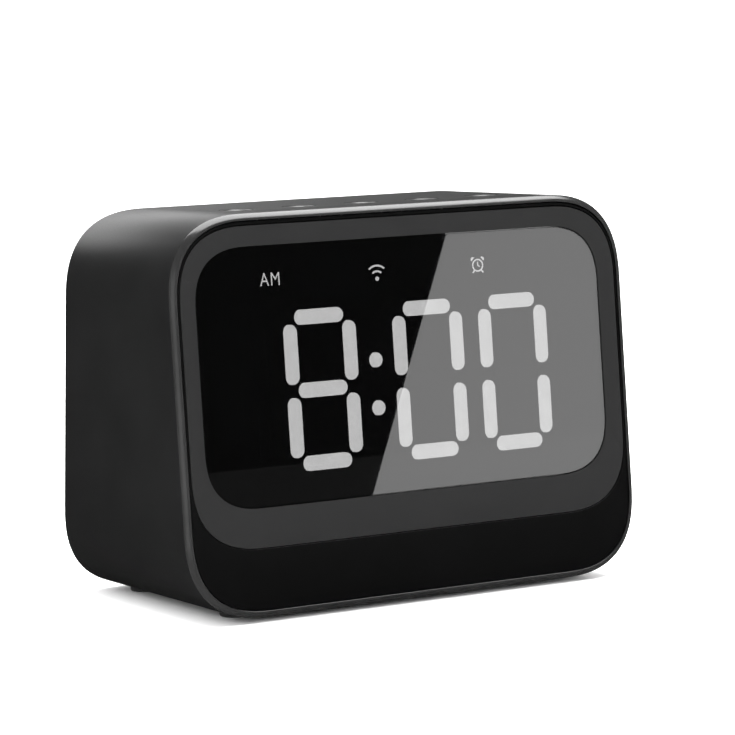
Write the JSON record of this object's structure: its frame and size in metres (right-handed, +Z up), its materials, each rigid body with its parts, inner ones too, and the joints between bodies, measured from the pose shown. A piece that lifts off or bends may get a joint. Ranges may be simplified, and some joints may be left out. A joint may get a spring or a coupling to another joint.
{
  "type": "digital alarm clock",
  "caption": "Compact digital alarm clock with a wide backlit digit display in a rounded case, a row of press buttons on top, and a small loudspeaker and sockets at the rear.",
  "frame": {"origin": "middle of the footprint, on the plane under the rubber feet", "axes": "+Z up, display faces -Y, +X to the right seen from the front"},
  "size_m": [0.12, 0.069, 0.0913],
  "materials": {
    "case_black": "fine satin, black",
    "panel_black": "smooth black",
    "surround_grey": "satin dark grey",
    "smoked_acrylic": "polished dark window",
    "mask_black": "matte black",
    "milky_diffuser": "milky white light guide, lit from behind",
    "reflector_white": "matte white",
    "board_green": "lacquered circuit board",
    "foot_rubber": "matte black rubber",
    "speaker_rubber": "soft rubber roll",
    "cone_paper": "pressed black paper",
    "spider_cloth": "stiffened woven cloth",
    "zinc_steel": "zinc plated",
    "grille_black": "black powder coat",
    "ferrite": "sintered, dull",
    "coil_copper": "enamelled copper wire",
    "screw_steel": "black oxide",
    "shield_tin": "tin plated",
    "chip_black": "moulded black",
    "cell_wrap": "shrink wrap, blue",
    "holder_black": "moulded black",
    "lead_red": "insulated lead",
    "lead_black": "insulated lead",
    "ribbon_white": "flat flexible cable",
    "switch_black": "moulded black",
    "button_black": "satin black"
  },
  "bodies": {
    "case": {"housing_sleeve": "case_black", "front_panel": "panel_black", "display_surround": "surround_grey", "display_lens": "smoked_acrylic", "segment_mask": "mask_black", "light_diffuser": "milky_diffuser", "led_reflector": "reflector_white", "display_board": "board_green", "rear_cover": "case_black", "speaker_grille": "grille_black", "speaker_basket": "zinc_steel", "speaker_surround": "speaker_rubber", "speaker_spider": "spider_cloth", "speaker_top_plate": "zinc_steel", "speaker_magnet": "ferrite", "speaker_yoke": "zinc_steel", "button_board": "board_green", "main_board": "board_green", "usb_c_inlet": "shield_tin", "aux_jack": "chip_black", "card_slot": "shield_tin", "wireless_module": "shield_tin", "amplifier_chip": "chip_black", "battery_cell": "cell_wrap", "battery_cradle": "holder_black", "display_ribbon": "ribbon_white", "button_ribbon": "ribbon_white", "tact_switch_1": "zinc_steel", "tact_switch_2": "zinc_steel", "tact_switch_3": "zinc_steel", "tact_switch_4": "zinc_steel", "tact_switch_5": "zinc_steel", "cover_screw_1": "screw_steel", "rubber_foot_1": "foot_rubber", "cover_screw_2": "screw_steel", "rubber_foot_2": "foot_rubber", "cover_screw_3": "screw_steel", "rubber_foot_3": "foot_rubber", "cover_screw_4": "screw_steel", "rubber_foot_4": "foot_rubber", "button_board_screw_1": "screw_steel", "button_board_screw_2": "screw_steel", "speaker_lead_positive": "lead_red", "speaker_lead_negative": "lead_black", "battery_lead_positive": "lead_red", "battery_lead_negative": "lead_black"},
    "speaker_diaphragm": {"speaker_cone": "cone_paper", "dust_cap": "cone_paper", "voice_coil": "coil_copper"},
    "button_1": {"button_cap_1": "button_black", "switch_plunger_1": "switch_black"},
    "button_2": {"button_cap_2": "button_black", "switch_plunger_2": "switch_black"},
    "button_3": {"button_cap_3": "button_black", "switch_plunger_3": "switch_black"},
    "button_4": {"button_cap_4": "button_black", "switch_plunger_4": "switch_black"},
    "button_5": {"button_cap_5": "button_black", "switch_plunger_5": "switch_black"}
  },
  "joints": [
    {"name": "button_1_press", "type": "slide", "parent": "case", "child": "button_1", "axis": [0, 0, -1], "range_m": [0, 0.0005], "stiffness_N_per_m": 3000},
    {"name": "button_2_press", "type": "slide", "parent": "case", "child": "button_2", "axis": [0, 0, -1], "range_m": [0, 0.0005], "stiffness_N_per_m": 3000},
    {"name": "button_3_press", "type": "slide", "parent": "case", "child": "button_3", "axis": [0, 0, -1], "range_m": [0, 0.0005], "stiffness_N_per_m": 3000},
    {"name": "button_4_press", "type": "slide", "parent": "case", "child": "button_4", "axis": [0, 0, -1], "range_m": [0, 0.0005], "stiffness_N_per_m": 3000},
    {"name": "button_5_press", "type": "slide", "parent": "case", "child": "button_5", "axis": [0, 0, -1], "range_m": [0, 0.0005], "stiffness_N_per_m": 3000},
    {"name": "speaker_diaphragm_travel", "type": "slide", "parent": "case", "child": "speaker_diaphragm", "axis": [0, 0.994, 0.1097], "range_m": [-0.001, 0.001], "stiffness_N_per_m": 1500, "deforming": ["speaker_surround", "speaker_spider"]}
  ]
}
